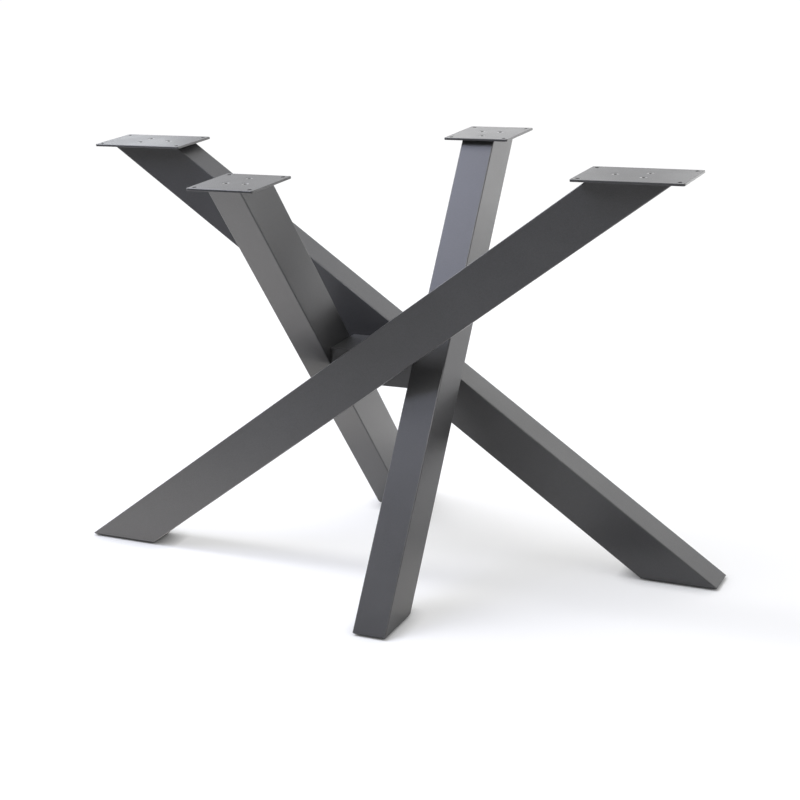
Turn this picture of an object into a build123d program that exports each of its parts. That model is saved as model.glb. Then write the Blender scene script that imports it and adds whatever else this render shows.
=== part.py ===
from build123d import *
from math import cos, radians, sin, tan
import os

# Table frame of four leaning rectangular tubes around a centre hub, in millimetres, +Z up.
# The origin is on the floor, under the middle of the hub.
# Each leg leans in an upright plane, with its foot on one side of the middle and its top plate on
# the other. The long pair leans along X and the short pair along Y. The second leg of each pair is
# the first one turned half round, so the four pass over and under each other like a pinwheel.

# Whole frame
HEIGHT = 730.0  # floor to the top face of the plates
CROSSING_HEIGHT = 376.0  # where each leg's axis passes the middle of the frame
LONG_SLOPE = 35.6  # degrees from the floor, front and rear legs
SHORT_SLOPE = 54.3  # degrees from the floor, right and left legs
LEG_CLEARANCE = 0.8  # upright gap where two neighbouring legs pass each other

# Leg tube
TUBE_DEPTH = 80.0  # side that stands in the leg's own upright plane
TUBE_WIDTH = 60.0
TUBE_WALL = 2.0
TUBE_CORNER = 2.0  # outside radius

# Top plates, length measured the way the leg leans
LONG_PLATE_LENGTH = 180.0
LONG_PLATE_WIDTH = 110.0
SHORT_PLATE_LENGTH = 125.0
SHORT_PLATE_WIDTH = 120.0
PLATE_THICKNESS = 4.0
PLATE_CORNER = 3.0
PLATE_EDGE_CHAMFER = 0.5
TABLETOP_HOLE = 7.0  # for the screws that go up into the tabletop
TABLETOP_HOLE_MARGIN = 10.0  # from the plate's edges

# Countersunk screws, three to a plate, with the single one towards the middle of the frame
SCREW_DIAMETER = 6.0
SCREW_HEAD = 12.0
SCREW_SOCKET = 4.0  # across flats
SCREW_SOCKET_DEPTH = 2.0
SCREW_SINK = 0.35  # head below the plate's face
SCREW_PAIR_SPREAD = 35.0
LONG_SCREW_REACH = 50.0  # from the pair to the single screw
SHORT_SCREW_REACH = 42.0
SCREW_SHIFT = 10.0  # the triangle's middle, from the plate's middle towards the frame's
THREAD_CLEARANCE = 0.05

# Closing block in the top of each tube, which takes the screws
CAP_THICKNESS = 8.0
CAP_CLEARANCE = 0.2

# Moulded plug in the foot of each tube
FOOT_LIP = 1.6  # thickness of the lip that the tube's cut stands on
FOOT_LIP_INSET = 1.0  # its edge inside the tube's outline
FOOT_LIP_CORNER = 2.5
FOOT_TREAD = 3.4  # thickness of the smaller tread below, which stands on the floor
FOOT_TREAD_INSET = 8.0
FOOT_TREAD_CORNER = 6.0
FOOT_TREAD_CHAMFER = 0.8
PLUG_DEPTH = 20.0
PLUG_WALL = 2.5
PLUG_CLEARANCE = 0.2

# Centre hub, a box that is open underneath
HUB_WIDTH = 90.0
HUB_HEIGHT = 60.0
HUB_SINK = 6.0  # the hub's middle below the crossing
HUB_WALL = 5.0
HUB_EDGE_ROUND = 1.5
HUB_INNER_CORNER = 4.0

# Hub bolts, from inside the hub into collars drawn in the tube's wall
BOLT_DIAMETER = 8.0
BOLT_HOLE = 9.0
BOLT_LENGTH = 16.0
BOLT_HEAD = 14.0
BOLT_HEAD_HEIGHT = 4.4
BOLT_HEAD_CHAMFER = 1.5
BOLT_SOCKET = 5.0  # across flats
BOLT_SOCKET_DEPTH = 2.6
BOLT_MARGIN = 14.0  # from the hub's lower edge and from the underside of its top
WASHER_DIAMETER = 16.0
WASHER_HOLE = 8.4
WASHER_THICKNESS = 1.6
COLLAR_DIAMETER = 12.0
COLLAR_LENGTH = 5.0

# How shapes are held to their place: by the middle of the base, or of the top face
ON_BASE = (Align.CENTER, Align.CENTER, Align.MIN)
BELOW_TOP = (Align.CENTER, Align.CENTER, Align.MAX)

# Heights and places that follow
TUBE_BOTTOM = FOOT_TREAD + FOOT_LIP
TUBE_TOP = HEIGHT - PLATE_THICKNESS
HUB_MIDDLE = CROSSING_HEIGHT - HUB_SINK
HUB_BOTTOM = HUB_MIDDLE - HUB_HEIGHT / 2
HUB_TOP = HUB_MIDDLE + HUB_HEIGHT / 2
BOLT_ROWS = (HUB_BOTTOM + BOLT_MARGIN, HUB_TOP - HUB_WALL - BOLT_MARGIN)


def upright_half_depth(slope):
    """Half of the tube's depth, measured upright on the lean."""
    return TUBE_DEPTH / 2 / cos(radians(slope))


# The hub is as long as the legs need to pass each other at its four corners.
HUB_LENGTH = 2 * (
    LEG_CLEARANCE
    + upright_half_depth(LONG_SLOPE)
    + upright_half_depth(SHORT_SLOPE)
    - HUB_WIDTH / 2 * tan(radians(SHORT_SLOPE))
) / tan(radians(LONG_SLOPE))


class Lean:
    """One kind of leg, drawn along +X on the hub's -Y side, with its foot at -X."""

    def __init__(self, slope, hub_face, plate_length, plate_width, screw_reach):
        self.slope = slope
        self.hub_face = -hub_face  # Y of the hub's side that the leg lies against
        self.middle = self.hub_face - TUBE_WIDTH / 2  # Y of the leg's axis
        self.plate_length = plate_length
        self.plate_width = plate_width
        self.screw_reach = screw_reach

    def along(self, height):
        """X of the leg's axis at a height."""
        return (height - CROSSING_HEIGHT) / tan(radians(self.slope))

    def bar(self, inset):
        """The tube's outline, moved in by inset and run well past both of its level cuts."""
        lean = radians(self.slope)
        across = Plane((0, self.middle, CROSSING_HEIGHT), x_dir=(0, 1, 0), z_dir=(cos(lean), 0, sin(lean)))
        width = TUBE_WIDTH - 2 * inset
        depth = TUBE_DEPTH - 2 * inset
        corner = TUBE_CORNER - inset
        outline = RectangleRounded(width, depth, corner) if corner > 0 else Rectangle(width, depth)
        return extrude(across * outline, amount=2 * HEIGHT / sin(lean), both=True)

    def slab(self, width, low, high):
        """A level slab across the leg's middle, longer than the leg."""
        length = 4 * HEIGHT / tan(radians(self.slope))
        return Pos(0, self.middle, low) * Box(length, width, high - low, align=ON_BASE)

    def between(self, solid, low, high):
        """The part of a bar between two level cuts."""
        return solid & self.slab(2 * TUBE_WIDTH, low, high)

    def cut_outline(self, inset, corner):
        """The outline of a level cut through the tube, moved in by inset, with rounded corners."""
        length = TUBE_DEPTH / sin(radians(self.slope))
        return RectangleRounded(length - 2 * inset, TUBE_WIDTH - 2 * inset, corner)

    def screw_places(self):
        """X and Y of the three screws in the top plate."""
        middle = self.along(TUBE_TOP) - SCREW_SHIFT
        pair_x = middle + self.screw_reach / 2
        pair = [(pair_x, self.middle + side * SCREW_PAIR_SPREAD / 2) for side in (-1, 1)]
        return pair + [(middle - self.screw_reach / 2, self.middle)]

    def bolt_places(self):
        """X and Z of the two hub bolts, on the leg's axis."""
        return [(self.along(height), height) for height in BOLT_ROWS]


def towards_leg(x, y, z):
    """A place whose own +Z points from the hub into the leg, along -Y."""
    return Pos(x, y, z) * Rot(90, 0, 0)


def standing(radius, height):
    """A cylinder on its base."""
    return Cylinder(radius, height, align=ON_BASE)


def hanging(radius, height):
    """A cylinder below its top face."""
    return Cylinder(radius, height, align=BELOW_TOP)


def hex_socket(across_flats, depth):
    """A six-sided key socket below its mouth."""
    return extrude(RegularPolygon(across_flats / 2, 6, major_radius=False), amount=-depth)


def leg_tube(lean):
    """The tube with level ends and, on the hub side, two drawn collars with tapped bores."""
    tube = lean.between(lean.bar(0) - lean.bar(TUBE_WALL), TUBE_BOTTOM, TUBE_TOP)
    collar = standing(COLLAR_DIAMETER / 2, COLLAR_LENGTH)
    bore = standing(BOLT_DIAMETER / 2 + THREAD_CLEARANCE, TUBE_WALL + COLLAR_LENGTH)
    for x, z in lean.bolt_places():
        tube += towards_leg(x, lean.hub_face - TUBE_WALL, z) * collar
        tube -= towards_leg(x, lean.hub_face, z) * bore
    return tube


def leg_cap(lean):
    """The closing block, flush with the tube's upper cut, with a tapped hole for each screw."""
    cap = lean.between(lean.bar(TUBE_WALL + CAP_CLEARANCE), TUBE_TOP - CAP_THICKNESS, TUBE_TOP)
    for x, y in lean.screw_places():
        cap -= Pos(x, y, TUBE_TOP) * hanging(SCREW_DIAMETER / 2 + THREAD_CLEARANCE, CAP_THICKNESS)
    return cap


def countersink(neck, rim):
    """A right-angled cone below its rim."""
    return Cone(neck, rim, rim - neck, align=BELOW_TOP)


def top_plate(lean):
    """The plate on the tube's upper cut, with a hole near each corner and three countersinks."""
    outline = RectangleRounded(lean.plate_length, lean.plate_width, PLATE_CORNER)
    plate = extrude(outline, amount=PLATE_THICKNESS)
    rims = plate.edges().group_by(Axis.Z)
    plate = chamfer(rims[0] + rims[-1], PLATE_EDGE_CHAMFER)
    plate = Pos(lean.along(TUBE_TOP), lean.middle, TUBE_TOP) * plate
    for x_side in (-1, 1):
        for y_side in (-1, 1):
            x = lean.along(TUBE_TOP) + x_side * (lean.plate_length / 2 - TABLETOP_HOLE_MARGIN)
            y = lean.middle + y_side * (lean.plate_width / 2 - TABLETOP_HOLE_MARGIN)
            plate -= Pos(x, y, HEIGHT) * hanging(TABLETOP_HOLE / 2, PLATE_THICKNESS)
    neck = SCREW_DIAMETER / 2 + THREAD_CLEARANCE
    rim = SCREW_HEAD / 2 + THREAD_CLEARANCE + SCREW_SINK
    seat = countersink(neck, rim) + hanging(neck, PLATE_THICKNESS)
    for x, y in lean.screw_places():
        plate -= Pos(x, y, HEIGHT) * seat
    return plate


def plate_screws(lean):
    """Three countersunk screws, through the plate and the closing block."""
    length = PLATE_THICKNESS + CAP_THICKNESS - SCREW_SINK
    screw = countersink(SCREW_DIAMETER / 2, SCREW_HEAD / 2) + hanging(SCREW_DIAMETER / 2, length)
    screw -= hex_socket(SCREW_SOCKET, SCREW_SOCKET_DEPTH)
    return [Pos(x, y, HEIGHT - SCREW_SINK) * screw for x, y in lean.screw_places()]


def foot_plug(lean):
    """The lip and tread under the tube's lower cut, with a ribbed skirt up inside the tube."""
    tread = extrude(lean.cut_outline(FOOT_TREAD_INSET, FOOT_TREAD_CORNER), amount=FOOT_TREAD)
    tread = chamfer(tread.edges().group_by(Axis.Z)[0], FOOT_TREAD_CHAMFER)
    lip = extrude(lean.cut_outline(FOOT_LIP_INSET, FOOT_LIP_CORNER), amount=FOOT_LIP)
    foot = Pos(lean.along(TUBE_BOTTOM), lean.middle, 0) * (tread + Pos(0, 0, FOOT_TREAD) * lip)
    skirt_inset = TUBE_WALL + PLUG_CLEARANCE
    plug_top = TUBE_BOTTOM + PLUG_DEPTH
    room = lean.bar(skirt_inset + PLUG_WALL)
    skirt = lean.between(lean.bar(skirt_inset) - room, TUBE_BOTTOM, plug_top)
    rib = room & lean.slab(PLUG_WALL, TUBE_BOTTOM, plug_top)
    return foot + skirt + rib


def hub_washers(lean):
    """A washer on the hub's inner side at each bolt."""
    washer = standing(WASHER_DIAMETER / 2, WASHER_THICKNESS) - standing(WASHER_HOLE / 2, WASHER_THICKNESS)
    start = lean.hub_face + HUB_WALL + WASHER_THICKNESS
    return [towards_leg(x, start, z) * washer for x, z in lean.bolt_places()]


def hub_bolts(lean):
    """Low-headed socket bolts, through the hub's wall into the tube's collars."""
    head = hanging(BOLT_HEAD / 2, BOLT_HEAD_HEIGHT)
    head = chamfer(head.edges().group_by(Axis.Z)[0], BOLT_HEAD_CHAMFER)
    bolt = head + standing(BOLT_DIAMETER / 2, BOLT_LENGTH)
    bolt -= Pos(0, 0, -BOLT_HEAD_HEIGHT) * Rot(180, 0, 0) * hex_socket(BOLT_SOCKET, BOLT_SOCKET_DEPTH)
    start = lean.hub_face + HUB_WALL + WASHER_THICKNESS
    return [towards_leg(x, start, z) * bolt for x, z in lean.bolt_places()]


def centre_hub(sides):
    """The box that the four legs are bolted to, closed on top and open underneath."""
    hub = Pos(0, 0, HUB_MIDDLE) * Box(HUB_LENGTH, HUB_WIDTH, HUB_HEIGHT)
    hub = fillet(hub.edges().filter_by(Axis.Z) + hub.edges().group_by(Axis.Z)[-1], HUB_EDGE_ROUND)
    room = RectangleRounded(HUB_LENGTH - 2 * HUB_WALL, HUB_WIDTH - 2 * HUB_WALL, HUB_INNER_CORNER)
    hub -= Pos(0, 0, HUB_BOTTOM) * extrude(room, amount=HUB_HEIGHT - HUB_WALL)
    for lean, turn in sides.values():
        for x, z in lean.bolt_places():
            hole = towards_leg(x, lean.hub_face + HUB_WALL, z) * standing(BOLT_HOLE / 2, HUB_WALL)
            hub -= Rot(0, 0, turn) * hole
    return hub


def write(name, pieces, turn=0):
    """Turn the pieces about the frame's middle and write them as one file."""
    solids = [solid for piece in pieces for solid in (Rot(0, 0, turn) * piece).solids()]
    shape = solids[0] if len(solids) == 1 else Compound(children=solids)
    shape.label = name
    export_step(shape, os.path.join("parts", name + ".step"))


os.makedirs("parts", exist_ok=True)

LONG = Lean(LONG_SLOPE, HUB_WIDTH / 2, LONG_PLATE_LENGTH, LONG_PLATE_WIDTH, LONG_SCREW_REACH)
SHORT = Lean(SHORT_SLOPE, HUB_LENGTH / 2, SHORT_PLATE_LENGTH, SHORT_PLATE_WIDTH, SHORT_SCREW_REACH)
SIDES = {"front": (LONG, 0), "right": (SHORT, 90), "rear": (LONG, 180), "left": (SHORT, 270)}

write("centre_hub", [centre_hub(SIDES)])
for side, (lean, turn) in SIDES.items():
    write(side + "_leg", [leg_tube(lean)], turn)
    write(side + "_leg_cap", [leg_cap(lean)], turn)
    write(side + "_top_plate", [top_plate(lean)], turn)
    write(side + "_plate_screws", plate_screws(lean), turn)
    write(side + "_foot_plug", [foot_plug(lean)], turn)
    write(side + "_hub_washers", hub_washers(lean), turn)
    write(side + "_hub_bolts", hub_bolts(lean), turn)
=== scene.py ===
"""Table frame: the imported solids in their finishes, lit softly on a pale floor."""
import math
from types import SimpleNamespace

import bpy
from mathutils import Matrix, Vector


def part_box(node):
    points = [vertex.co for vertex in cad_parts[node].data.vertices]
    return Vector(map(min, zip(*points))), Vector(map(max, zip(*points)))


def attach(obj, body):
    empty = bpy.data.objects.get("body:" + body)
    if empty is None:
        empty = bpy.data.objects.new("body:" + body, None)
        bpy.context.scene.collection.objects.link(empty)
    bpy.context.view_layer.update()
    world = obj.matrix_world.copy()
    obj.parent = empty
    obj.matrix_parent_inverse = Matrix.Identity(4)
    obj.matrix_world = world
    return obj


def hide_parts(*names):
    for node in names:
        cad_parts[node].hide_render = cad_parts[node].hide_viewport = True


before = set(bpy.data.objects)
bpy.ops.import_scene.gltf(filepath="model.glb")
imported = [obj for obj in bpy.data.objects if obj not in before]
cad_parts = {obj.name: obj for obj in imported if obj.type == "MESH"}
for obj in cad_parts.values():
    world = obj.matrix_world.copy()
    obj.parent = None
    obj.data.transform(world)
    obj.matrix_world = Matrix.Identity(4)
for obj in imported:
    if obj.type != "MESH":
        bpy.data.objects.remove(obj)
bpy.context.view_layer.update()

# The camera, fitted to the tubes and plates in an 800 x 800 picture, in metres and degrees
PICTURE_WIDTH = 800
FOCAL_PIXELS = 1652.754
SENSOR = 36.0
CAMERA_PLACE = (1.260814, -2.461475, 1.208976)
CAMERA_TURN = 26.572
CAMERA_DIP = 18.268
CAMERA_TILT = 2.96
CAMERA_REACH = 200.0

# The floor: its colour for the light that it throws back, its colour in the picture, and the white
# that is added in the picture, cut back close to the feet to paint a contact shade there
FLOOR_SIZE = 80.0
FLOOR_DROP = 0.0002
FLOOR_COLOUR = (0.83, 0.82, 0.805, 1.0)
FLOOR_SEEN = (0.51, 0.51, 0.51, 1.0)
FLOOR_LIFT = 0.465
PAINTED_CONTACT_SHADE_REACH = 0.03
PAINTED_CONTACT_SHADE_RAYS = 4

# The room: its light on the object, and its strength where it is seen
WHITE = (1.0, 1.0, 1.0, 1.0)
ROOM_LIGHT = 0.74
ROOM_SEEN = 1.0

# The main light, an upright strip far off in five parts, in degrees: the way it travels from +X,
# the height of each part above the floor and its width, with the strength of one part
MAIN_LIGHT_TURN = 4.3
MAIN_LIGHT_HEIGHTS = (29.0, 38.0, 47.0, 56.0, 65.0)
MAIN_LIGHT_WIDTH = 13.0
MAIN_LIGHT_STRENGTH = 0.307

# Lamps: place, the point each one faces, its two sides in metres, power, colour
LAMPS = {
    "overhead_softbox": ((-1.1, -0.66, 2.2), (0.05, 0.1, 0.55), 1.4, 1.3, 29.8, (0.705, 0.745, 1.0)),
    "back_softbox": ((0.62, 2.6, 1.45), (0.2, 0.0, 0.4), 1.7, 0.9, 6.0, (1.0, 1.0, 1.0)),
    "back_middle_panel": ((-1.0, 2.6, 1.1), (0.1, 0.2, 0.7), 0.9, 0.6, 2.3, (1.0, 1.0, 1.0)),
    "back_left_panel": ((-2.85, 2.55, 1.15), (-0.4, 0.0, 0.7), 1.3, 0.8, 6.2, (0.88, 0.93, 1.0)),
    "right_strip": ((1.4, 2.8, 0.26), (0.1, 0.1, 0.3), 2.3, 0.5, 7.0, (1.0, 1.0, 1.0)),
    "floor_glow": ((-0.5, -0.22, 0.004), (-0.5, -0.22, 1.0), 0.8, 0.6, 1.25, (1.0, 0.95, 0.88)),
    "back_floor_glow": ((0.14, 0.78, 0.004), (0.14, 0.78, 1.0), 0.5, 0.5, 0.9, (1.0, 0.98, 0.95)),
    "far_floor_glow": ((1.1, 2.05, 0.004), (1.1, 2.05, 1.0), 0.8, 0.9, 1.1, (1.0, 1.0, 1.0)),
    "foot_glow": ((0.205, -0.1, 0.004), (0.205, -0.1, 1.0), 0.12, 0.25, 0.03, (1.0, 0.96, 0.9)),
    "edge_panel": ((0.95, -1.7, 2.75), (0.2, 0.0, 0.4), 1.2, 1.2, 70.0, (1.0, 1.0, 1.0)),
}
# The lamp that shows only in the gloss, as a light line along the tubes' rounded edges
GLOSS_LAMP = "edge_panel"

# Dark cloths on the camera's side, which the upright faces reflect: place, turns in degrees, two
# sides, and whether they take up the room's soft light as well. The two that lie on the floor show
# only in reflections, as painted dark reflections
DARK_CLOTHS = {
    "dark_curtain": ((0.2, -3.1, 1.6), (90.0, 0.0, 0.0), 7.0, 3.2, True),
    # A painted dark reflection: seen only in gloss, it darkens what the upright faces reflect of the
    # lit floor in front
    "painted_reflection_floor_cloth": ((-1.8, -1.85, 0.01), (0.0, 0.0, 0.0), 1.9, 2.1, False),
    # Painted shade in reflections: seen only in gloss, it stands for the floor's shadow in front of the
    # rear foot
    "painted_shade_foot_cloth": ((0.39, -0.17, 0.01), (0.0, 0.0, 0.0), 0.16, 0.24, False),
}
CLOTH_COLOUR = (0.05, 0.05, 0.05, 1.0)
CLOTH_ROUGHNESS = 0.9

# The pebbled skin that the finishes share, with its finer specks
PEBBLE_SMOOTHNESS = 0.7
PEBBLE_SHARE = -0.7
SPECKS_FINER = 2.6
SPECKS_DETAIL = 3.0
SPECKS_ROUGHNESS = 0.65
SPECKS_CONTRAST = (0.32, 0.70)

# The soft patches that the finishes share, with a closer ripple
PATCHES_DETAIL = 4.0
PATCHES_ROUGHNESS = 0.55
PATCHES_DISTORTION = 0.4
PATCHES_CONTRAST = (0.30, 0.70)
RIPPLE_CLOSER = 14.0
RIPPLE_DETAIL = 1.0

# Finishes: two linear colours, the scales of the skin and of the patches, the share of the weaker of
# these in the colour, roughness from and to, and the strength and depth of the bumps in metres
FINISHES = {
    "powder_coat": {
        "dark": (0.046, 0.046, 0.047, 1.0),
        "light": (0.072, 0.072, 0.073, 1.0),
        "skin": 460.0,
        "patches": 9.0,
        "share": 0.25,
        "roughness": (0.29, 0.36),
        "bump": (0.20, 0.0004),
    },
    "zinc_steel": {
        "dark": (0.30, 0.30, 0.31, 1.0),
        "light": (0.52, 0.52, 0.53, 1.0),
        "skin": 1400.0,
        "patches": 160.0,
        "share": 0.3,
        "roughness": (0.28, 0.42),
        "bump": (0.06, 0.0001),
    },
    "black_steel": {
        "dark": (0.23, 0.23, 0.233, 1.0),
        "light": (0.46, 0.46, 0.463, 1.0),
        "skin": 1600.0,
        "patches": 190.0,
        "share": 0.3,
        "roughness": (0.30, 0.42),
        "bump": (0.08, 0.0001),
    },
    "raw_steel": {
        "dark": (0.20, 0.19, 0.18, 1.0),
        "light": (0.42, 0.41, 0.40, 1.0),
        "skin": 900.0,
        "patches": 45.0,
        "share": 0.4,
        "roughness": (0.38, 0.58),
        "bump": (0.12, 0.0002),
    },
    "foot_plastic": {
        "dark": (0.010, 0.010, 0.0105, 1.0),
        "light": (0.022, 0.022, 0.023, 1.0),
        "skin": 900.0,
        "patches": 30.0,
        "share": 0.4,
        "roughness": (0.55, 0.68),
        "bump": (0.18, 0.0003),
    },
}
COAT_SPECKS_IN_SHEEN = 0.6
COAT_RIPPLE_IN_SKIN = 0.5
COAT_IOR = 1.5

# The black painted into the screws' key sockets, for the blackening left unworn there and as painted
# shade in the recess, and the depths below the flat, in metres, where it is full and where it starts
SOCKET_BLACK_AND_SHADE = (0.008, 0.008, 0.008, 1.0)
SOCKET_SHADE = (0.0003, 0.00005)

# Countersunk screws in the plates, in metres, and the turn of each one's key socket in degrees
SCREW_HEAD_RADIUS = 0.006
SCREW_RADIUS = 0.003
SCREW_TIP = 0.0006
SCREW_ROUND = 48
SMOOTH_BELOW = 30.0
KEY_SIDES = 6
KEY_FLATS = 0.004
KEY_DEPTH = 0.002
KEY_MOUTH_RADIUS = 0.0036
KEY_MOUTH_DEPTH = 0.0012
KEY_TURNS = (8.0, 31.0, 52.0)
# Half a facet of the round, which keeps the socket's corners off the edges of its mouth
HALF_FACET = math.pi / SCREW_ROUND
# How much of a face's normal points along Z on the end of a screw
END_FACE = 0.9

# The legs, and the axis that each one leans along
SIDES = {"front": 0, "right": 1, "rear": 0, "left": 1}


def link(tree, out_node, out_name, in_node, in_name):
    """Joins one node's output to another node's input."""
    tree.links.new(out_node.outputs[out_name], in_node.inputs[in_name])


def feed(tree, value, socket):
    """Gives an input either another node's output or a plain value."""
    if isinstance(value, bpy.types.NodeSocket):
        tree.links.new(value, socket)
    else:
        socket.default_value = value


def product(tree, first, second):
    """Two values multiplied."""
    node = tree.nodes.new("ShaderNodeMath")
    node.operation = "MULTIPLY"
    feed(tree, first, node.inputs[0])
    feed(tree, second, node.inputs[1])
    return node.outputs["Value"]


def greater(tree, first, second):
    """The greater of two values."""
    node = tree.nodes.new("ShaderNodeMath")
    node.operation = "MAXIMUM"
    feed(tree, first, node.inputs[0])
    feed(tree, second, node.inputs[1])
    return node.outputs["Value"]


def blended(tree, first, second, share):
    """Two values added, the second one with its share."""
    node = tree.nodes.new("ShaderNodeMath")
    node.operation = "MULTIPLY_ADD"
    feed(tree, second, node.inputs[0])
    feed(tree, share, node.inputs[1])
    feed(tree, first, node.inputs[2])
    return node.outputs["Value"]


def stretched(tree, value, low, high):
    """A value brought from the range between low and high to 0 and 1."""
    node = tree.nodes.new("ShaderNodeMapRange")
    node.inputs["From Min"].default_value = low
    node.inputs["From Max"].default_value = high
    tree.links.new(value, node.inputs["Value"])
    return node.outputs["Result"]


def ranged(tree, value, low, high):
    """A value from 0 to 1 brought to the range from low to high."""
    node = tree.nodes.new("ShaderNodeMapRange")
    node.inputs["To Min"].default_value = low
    node.inputs["To Max"].default_value = high
    tree.links.new(value, node.inputs["Value"])
    return node.outputs["Result"]


def mixed_colour(tree, mask, low, high):
    """A colour that goes from low to high as the mask goes from 0 to 1."""
    node = tree.nodes.new("ShaderNodeMix")
    node.data_type = "RGBA"
    feed(tree, low, node.inputs["A"])
    feed(tree, high, node.inputs["B"])
    tree.links.new(mask, node.inputs["Factor"])
    return node.outputs["Result"]


def bumped(tree, height, strength, depth):
    """A normal pushed in and out by a height."""
    node = tree.nodes.new("ShaderNodeBump")
    node.inputs["Strength"].default_value = strength
    node.inputs["Distance"].default_value = depth
    tree.links.new(height, node.inputs["Height"])
    return node.outputs["Normal"]


def new_group(name, outputs):
    """An empty node group that takes a place and a scale, and its two end nodes."""
    group = bpy.data.node_groups.new(name, "ShaderNodeTree")
    group.interface.new_socket("Vector", in_out="INPUT", socket_type="NodeSocketVector")
    group.interface.new_socket("Scale", in_out="INPUT", socket_type="NodeSocketFloat")
    for output in outputs:
        group.interface.new_socket(output, in_out="OUTPUT", socket_type="NodeSocketFloat")
    start = group.nodes.new("NodeGroupInput")
    end = group.nodes.new("NodeGroupOutput")
    return group, start, end


def pebbled_skin_group():
    """A fine skin of rounded pebbles with a finer dust of specks in it."""
    group, start, end = new_group("pebbled_skin", ("Height", "Specks"))
    pebbles = group.nodes.new("ShaderNodeTexVoronoi")
    pebbles.feature = "SMOOTH_F1"
    pebbles.inputs["Smoothness"].default_value = PEBBLE_SMOOTHNESS
    link(group, start, "Vector", pebbles, "Vector")
    link(group, start, "Scale", pebbles, "Scale")

    specks = group.nodes.new("ShaderNodeTexNoise")
    specks.inputs["Detail"].default_value = SPECKS_DETAIL
    specks.inputs["Roughness"].default_value = SPECKS_ROUGHNESS
    link(group, start, "Vector", specks, "Vector")
    group.links.new(product(group, start.outputs["Scale"], SPECKS_FINER), specks.inputs["Scale"])

    dust = specks.outputs["Fac"]
    height = blended(group, dust, pebbles.outputs["Distance"], PEBBLE_SHARE)
    group.links.new(height, end.inputs["Height"])
    group.links.new(stretched(group, dust, *SPECKS_CONTRAST), end.inputs["Specks"])
    return group


def soft_unevenness_group():
    """Broad soft patches, as a sprayed or handled surface has, and a closer ripple."""
    group, start, end = new_group("soft_unevenness", ("Patches", "Ripple"))
    patches = group.nodes.new("ShaderNodeTexNoise")
    patches.inputs["Detail"].default_value = PATCHES_DETAIL
    patches.inputs["Roughness"].default_value = PATCHES_ROUGHNESS
    patches.inputs["Distortion"].default_value = PATCHES_DISTORTION
    link(group, start, "Vector", patches, "Vector")
    link(group, start, "Scale", patches, "Scale")
    group.links.new(stretched(group, patches.outputs["Fac"], *PATCHES_CONTRAST), end.inputs["Patches"])

    ripple = group.nodes.new("ShaderNodeTexNoise")
    ripple.inputs["Detail"].default_value = RIPPLE_DETAIL
    link(group, start, "Vector", ripple, "Vector")
    group.links.new(product(group, start.outputs["Scale"], RIPPLE_CLOSER), ripple.inputs["Scale"])
    link(group, ripple, "Fac", end, "Ripple")
    return group


PEBBLED_SKIN = pebbled_skin_group()
SOFT_UNEVENNESS = soft_unevenness_group()


def place_group(tree, group, coordinates, scale):
    """One use of a shared group in a material, with its own scale."""
    node = tree.nodes.new("ShaderNodeGroup")
    node.node_tree = group
    tree.links.new(coordinates, node.inputs["Vector"])
    node.inputs["Scale"].default_value = scale
    return node.outputs


def bare_material(name):
    """A material with nothing in it but its output."""
    material = bpy.data.materials.new(name)
    material.use_nodes = True
    tree = material.node_tree
    tree.nodes.clear()
    output = tree.nodes.new("ShaderNodeOutputMaterial")
    return material, tree, output


def new_surface(name):
    """A finish's material: its shader and values, and the skin and patches laid over the object."""
    values = FINISHES[name]
    material, tree, output = bare_material(name)
    shader = tree.nodes.new("ShaderNodeBsdfPrincipled")
    link(tree, shader, "BSDF", output, "Surface")
    coordinates = tree.nodes.new("ShaderNodeTexCoord").outputs["Object"]
    skin = place_group(tree, PEBBLED_SKIN, coordinates, values["skin"])
    uneven = place_group(tree, SOFT_UNEVENNESS, coordinates, values["patches"])
    return SimpleNamespace(
        material=material,
        tree=tree,
        shader=shader,
        values=values,
        coordinates=coordinates,
        height=skin["Height"],
        specks=skin["Specks"],
        patches=uneven["Patches"],
        ripple=uneven["Ripple"],
    )


def two_toned(surface, stronger, weaker):
    """The finish's two colours, mixed by one mask and a share of another."""
    mask = blended(surface.tree, stronger, weaker, surface.values["share"])
    return mixed_colour(surface.tree, mask, surface.values["dark"], surface.values["light"])


def varied(surface, colour, sheen, height):
    """Lets a colour, a mask for the roughness and a height drive the shader."""
    tree = surface.tree
    roughness = ranged(tree, sheen, *surface.values["roughness"])
    normal = bumped(tree, height, *surface.values["bump"])
    tree.links.new(colour, surface.shader.inputs["Base Color"])
    tree.links.new(roughness, surface.shader.inputs["Roughness"])
    tree.links.new(normal, surface.shader.inputs["Normal"])
    return surface.material


def powder_coat():
    """Satin anthracite powder coat: a tight pebbled skin, sprayed a little unevenly."""
    surface = new_surface("powder_coat")
    colour = two_toned(surface, surface.specks, surface.patches)
    sheen = blended(surface.tree, surface.patches, surface.specks, COAT_SPECKS_IN_SHEEN)
    height = blended(surface.tree, surface.height, surface.ripple, COAT_RIPPLE_IN_SKIN)
    surface.shader.inputs["IOR"].default_value = COAT_IOR
    return varied(surface, colour, sheen, height)


def zinc_steel():
    """Zinc-plated steel: a pale metal with a faint grain and duller patches."""
    surface = new_surface("zinc_steel")
    colour = two_toned(surface, surface.patches, surface.specks)
    surface.shader.inputs["Metallic"].default_value = 1.0
    return varied(surface, colour, surface.patches, surface.height)


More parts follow.
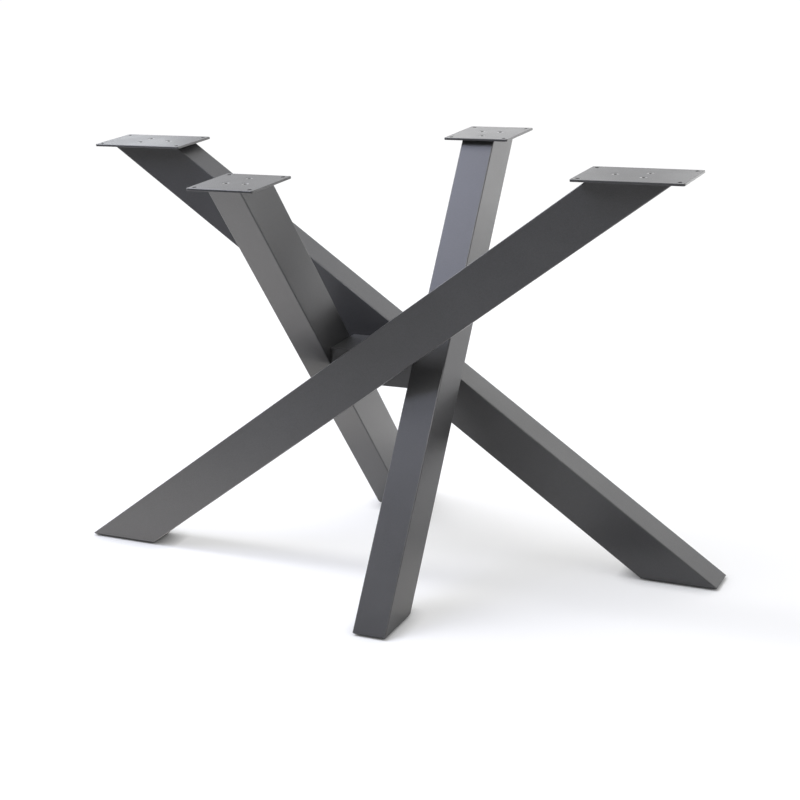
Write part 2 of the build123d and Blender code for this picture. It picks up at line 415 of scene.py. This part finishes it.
def black_steel():
    """Blackened steel: worn bright on the flat of the heads, and black in the key sockets, which is the
    unworn blackening and painted shade together.
    """
    surface = new_surface("black_steel")
    tree = surface.tree
    worn = two_toned(surface, surface.patches, surface.specks)
    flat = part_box("front_plate_screws")[1][2]
    full_depth, first_depth = SOCKET_SHADE
    place = tree.nodes.new("ShaderNodeSeparateXYZ")
    tree.links.new(surface.coordinates, place.inputs["Vector"])
    # Painted shade: the colour goes to black below the flat of the head, in the key socket and its
    # mouth, for the unworn blackening and the shade that falls there
    rise = stretched(tree, place.outputs["Z"], flat - full_depth, flat - first_depth)
    colour = mixed_colour(tree, rise, SOCKET_BLACK_AND_SHADE, worn)
    surface.shader.inputs["Metallic"].default_value = 1.0
    return varied(surface, colour, surface.patches, surface.height)


def raw_steel():
    """Plain sawn steel: darker mill skin in patches over a coarse grain."""
    surface = new_surface("raw_steel")
    colour = two_toned(surface, surface.patches, surface.specks)
    surface.shader.inputs["Metallic"].default_value = 1.0
    return varied(surface, colour, surface.patches, surface.height)


def foot_plastic():
    """Matt moulded plastic: near black, with the fine skin of the mould."""
    surface = new_surface("foot_plastic")
    colour = two_toned(surface, surface.specks, surface.patches)
    return varied(surface, colour, surface.patches, surface.height)


def select_faces(piece, wanted):
    """Selects the faces that pass a test, and leaves the piece in edit mode."""
    bpy.ops.object.mode_set(mode="EDIT")
    bpy.ops.mesh.select_mode(type="FACE")
    bpy.ops.mesh.select_all(action="DESELECT")
    bpy.ops.object.mode_set(mode="OBJECT")
    for face in piece.data.polygons:
        face.select = wanted(face)
    bpy.ops.object.mode_set(mode="EDIT")


def drawn_out(piece, wanted, rise, ratio):
    """Draws the chosen faces up or down and scales their end."""
    select_faces(piece, wanted)
    bpy.ops.mesh.extrude_region_move(TRANSFORM_OT_translate={"value": (0.0, 0.0, rise)})
    bpy.ops.transform.resize(value=(ratio, ratio, 1.0), center_override=(0.0, 0.0, 0.0))
    bpy.ops.object.mode_set(mode="OBJECT")


def carved(piece, cutter):
    """Cuts one shape out of another and puts the cutter away."""
    modifier = piece.modifiers.new("cut", "BOOLEAN")
    modifier.operation = "DIFFERENCE"
    modifier.solver = "EXACT"
    modifier.object = cutter
    bpy.ops.object.select_all(action="DESELECT")
    bpy.context.view_layer.objects.active = piece
    bpy.ops.object.modifier_apply(modifier=modifier.name)
    bpy.data.objects.remove(cutter)


def countersunk_screw(length):
    """One screw, its flat at height 0: shank, cone, tip, and a key socket with a bevelled mouth."""
    cone = SCREW_HEAD_RADIUS - SCREW_RADIUS
    shank = length - cone - SCREW_TIP
    bpy.ops.mesh.primitive_cylinder_add(
        vertices=SCREW_ROUND, radius=SCREW_RADIUS, depth=shank, location=(0.0, 0.0, -cone - shank / 2)
    )
    screw = bpy.context.object
    bpy.ops.object.transform_apply(location=True, rotation=True, scale=True)
    drawn_out(screw, lambda face: face.normal.z > END_FACE, cone, SCREW_HEAD_RADIUS / SCREW_RADIUS)
    drawn_out(screw, lambda face: face.normal.z < -END_FACE, -SCREW_TIP, 1.0 - SCREW_TIP / SCREW_RADIUS)

    key_radius = KEY_FLATS / 2 / math.cos(math.pi / KEY_SIDES)
    bpy.ops.mesh.primitive_cylinder_add(
        vertices=KEY_SIDES, radius=key_radius, depth=2 * KEY_DEPTH, rotation=(0.0, 0.0, HALF_FACET)
    )
    carved(screw, bpy.context.object)
    bpy.ops.mesh.primitive_cone_add(
        vertices=SCREW_ROUND, radius1=0.0, radius2=2 * KEY_MOUTH_RADIUS, depth=2 * KEY_MOUTH_DEPTH
    )
    carved(screw, bpy.context.object)
    bpy.ops.object.select_all(action="DESELECT")
    screw.select_set(True)
    bpy.ops.object.shade_smooth_by_angle(angle=math.radians(SMOOTH_BELOW))
    return screw


def screw_places(side):
    """The three screws' places in one plate: a pair, and one towards the middle of the frame."""
    low, high = [Vector(corner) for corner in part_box(side + "_plate_screws")]
    along = SIDES[side]
    across = 1 - along
    ends = sorted((low[along] + SCREW_HEAD_RADIUS, high[along] - SCREW_HEAD_RADIUS), key=abs)
    edges = (low[across] + SCREW_HEAD_RADIUS, high[across] - SCREW_HEAD_RADIUS)
    places = []
    for end, edge in ((ends[1], edges[0]), (ends[1], edges[1]), (ends[0], sum(edges) / 2)):
        place = Vector((0.0, 0.0, high.z))
        place[along] = end
        place[across] = edge
        places.append(place)
    return places


def worn_screws(material):
    """The screws of each plate, with their sockets turned as they came to rest."""
    low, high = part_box("front_plate_screws")
    pattern = countersunk_screw(high[2] - low[2])
    pattern.data.materials.append(material)
    for side in SIDES:
        copies = []
        for place, turn in zip(screw_places(side), KEY_TURNS):
            copy = pattern.copy()
            copy.data = pattern.data.copy()
            copy.location = place
            copy.rotation_euler = (0.0, 0.0, math.radians(turn))
            bpy.context.scene.collection.objects.link(copy)
            copies.append(copy)
        bpy.ops.object.select_all(action="DESELECT")
        for copy in copies:
            copy.select_set(True)
        bpy.context.view_layer.objects.active = copies[0]
        bpy.ops.object.join()
        bpy.ops.object.transform_apply(location=True, rotation=True, scale=True)
        screws = bpy.context.object
        screws.name = side + "_worn_screws"
        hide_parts(side + "_plate_screws")
        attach(screws, "root")
    bpy.data.objects.remove(pattern)


def dress(node_name, material):
    """Puts a finish on a CAD node in place of the plain one."""
    for material_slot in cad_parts[node_name].material_slots:
        material_slot.material = material


def dress_frame():
    """Every piece of the frame in its own finish."""
    coat = powder_coat()
    zinc = zinc_steel()
    black = black_steel()
    steel = raw_steel()
    plastic = foot_plastic()
    dress("centre_hub", coat)
    for side in SIDES:
        dress(side + "_leg", coat)
        dress(side + "_top_plate", coat)
        dress(side + "_leg_cap", steel)
        dress(side + "_foot_plug", plastic)
        dress(side + "_hub_washers", zinc)
        dress(side + "_hub_bolts", zinc)
    worn_screws(black)


def seen_by(tree):
    """1 for rays from the camera, from gloss and through glass, and 0 for the rest."""
    rays = tree.nodes.new("ShaderNodeLightPath").outputs
    straight = greater(tree, rays["Is Camera Ray"], rays["Is Glossy Ray"])
    return greater(tree, straight, rays["Is Transmission Ray"])


def pale_floor():
    """A wide pale floor that is white in the picture, keeps the shadow and is clear from below; near
    the feet its added white is cut back, a painted contact shade.
    """
    bpy.ops.mesh.primitive_plane_add(size=FLOOR_SIZE, location=(0.0, 0.0, -FLOOR_DROP))
    floor = bpy.context.object
    floor.name = "pale_floor"
    material, tree, output = bare_material("pale_floor")
    seen = seen_by(tree)
    matt = tree.nodes.new("ShaderNodeBsdfDiffuse")
    tree.links.new(mixed_colour(tree, seen, FLOOR_COLOUR, FLOOR_SEEN), matt.inputs["Color"])

    # Painted shade: ambient occlusion cuts back the added white where the feet and legs stand close
    # over the floor
    painted_contact_shade = tree.nodes.new("ShaderNodeAmbientOcclusion")
    painted_contact_shade.samples = PAINTED_CONTACT_SHADE_RAYS
    painted_contact_shade.inputs["Distance"].default_value = PAINTED_CONTACT_SHADE_REACH
    lift = tree.nodes.new("ShaderNodeEmission")
    lift.inputs["Color"].default_value = WHITE
    strength = product(tree, product(tree, seen, FLOOR_LIFT), painted_contact_shade.outputs["AO"])
    tree.links.new(strength, lift.inputs["Strength"])

    both = tree.nodes.new("ShaderNodeAddShader")
    link(tree, matt, "BSDF", both, 0)
    link(tree, lift, "Emission", both, 1)
    clear = tree.nodes.new("ShaderNodeBsdfTransparent")
    side = tree.nodes.new("ShaderNodeNewGeometry")
    one_sided = tree.nodes.new("ShaderNodeMixShader")
    link(tree, side, "Backfacing", one_sided, 0)
    link(tree, both, "Shader", one_sided, 1)
    link(tree, clear, "BSDF", one_sided, 2)
    link(tree, one_sided, "Shader", output, "Surface")
    floor.data.materials.append(material)


def dark_cloths():
    """The dark side of the room, out of every picture and with no shadow of its own; the cloths on the
    floor show only in reflections, painted dark reflections.
    """
    material = bpy.data.materials.new("dark_cloth")
    material.use_nodes = True
    shader = material.node_tree.nodes["Principled BSDF"]
    shader.inputs["Base Color"].default_value = CLOTH_COLOUR
    shader.inputs["Roughness"].default_value = CLOTH_ROUGHNESS
    for name, (place, turns, width, height, takes_soft_light) in DARK_CLOTHS.items():
        turned = [math.radians(turn) for turn in turns]
        bpy.ops.mesh.primitive_plane_add(size=1.0, location=place, rotation=turned)
        cloth = bpy.context.object
        cloth.name = name
        cloth.scale = (width, height, 1.0)
        cloth.visible_camera = False
        cloth.visible_shadow = False
        cloth.visible_diffuse = takes_soft_light
        cloth.data.materials.append(material)


def white_room():
    """White to the camera and in reflections, and a plain even light on everything."""
    world = bpy.data.worlds.new("white_room")
    bpy.context.scene.world = world
    world.use_nodes = True
    tree = world.node_tree
    tree.nodes.clear()
    output = tree.nodes.new("ShaderNodeOutputWorld")
    background = tree.nodes.new("ShaderNodeBackground")
    background.inputs["Color"].default_value = WHITE
    strength = ranged(tree, seen_by(tree), ROOM_LIGHT, ROOM_SEEN)
    tree.links.new(strength, background.inputs["Strength"])
    link(tree, background, "Background", output, "Surface")


def aim(lamp, way):
    """Turns a lamp to shine one way."""
    lamp.rotation_mode = "QUATERNION"
    lamp.rotation_quaternion = way.to_track_quat("-Z", "Y")


def main_light():
    """An upright strip of light from far off at the left, which gives the floor its soft shadow."""
    turn = math.radians(MAIN_LIGHT_TURN)
    for number, height in enumerate(MAIN_LIGHT_HEIGHTS, start=1):
        rise = math.radians(height)
        bpy.ops.object.light_add(type="SUN")
        lamp = bpy.context.object
        lamp.name = "main_light_" + str(number)
        lamp.data.angle = math.radians(MAIN_LIGHT_WIDTH)
        lamp.data.energy = MAIN_LIGHT_STRENGTH
        level = math.cos(rise)
        aim(lamp, Vector((math.cos(turn) * level, math.sin(turn) * level, -math.sin(rise))))


def soft_lamps():
    """Large soft lamps, each turned towards the frame."""
    for name, (place, target, width, height, power, colour) in LAMPS.items():
        bpy.ops.object.light_add(type="AREA", location=place)
        lamp = bpy.context.object
        lamp.name = name
        lamp.data.shape = "RECTANGLE"
        lamp.data.size = width
        lamp.data.size_y = height
        lamp.data.energy = power
        lamp.data.color = colour
        lamp.visible_camera = False
        lamp.visible_diffuse = name != GLOSS_LAMP
        aim(lamp, Vector(target) - Vector(place))


def camera():
    """The camera at the photograph's place, turn, dip and tilt."""
    turn = math.radians(CAMERA_TURN)
    dip = math.radians(CAMERA_DIP)
    tilt = math.radians(CAMERA_TILT)
    ahead = Vector((-math.sin(turn) * math.cos(dip), math.cos(turn) * math.cos(dip), -math.sin(dip)))
    level = Vector((math.cos(turn), math.sin(turn), 0.0))
    above = level.cross(ahead)
    across = level * math.cos(tilt) - above * math.sin(tilt)
    up = level * math.sin(tilt) + above * math.cos(tilt)
    data = bpy.data.cameras.new("camera")
    data.sensor_width = SENSOR
    data.lens = SENSOR * FOCAL_PIXELS / PICTURE_WIDTH
    data.clip_end = CAMERA_REACH
    taker = bpy.data.objects.new("camera", data)
    bpy.context.scene.collection.objects.link(taker)
    turned = Matrix((across, up, -ahead)).transposed()
    taker.matrix_world = Matrix.Translation(CAMERA_PLACE) @ turned.to_4x4()
    bpy.context.scene.camera = taker


bpy.ops.object.select_all(action="DESELECT")
bpy.context.scene.view_settings.view_transform = "Standard"
camera()
white_room()
pale_floor()
dark_cloths()
main_light()
soft_lamps()
dress_frame()
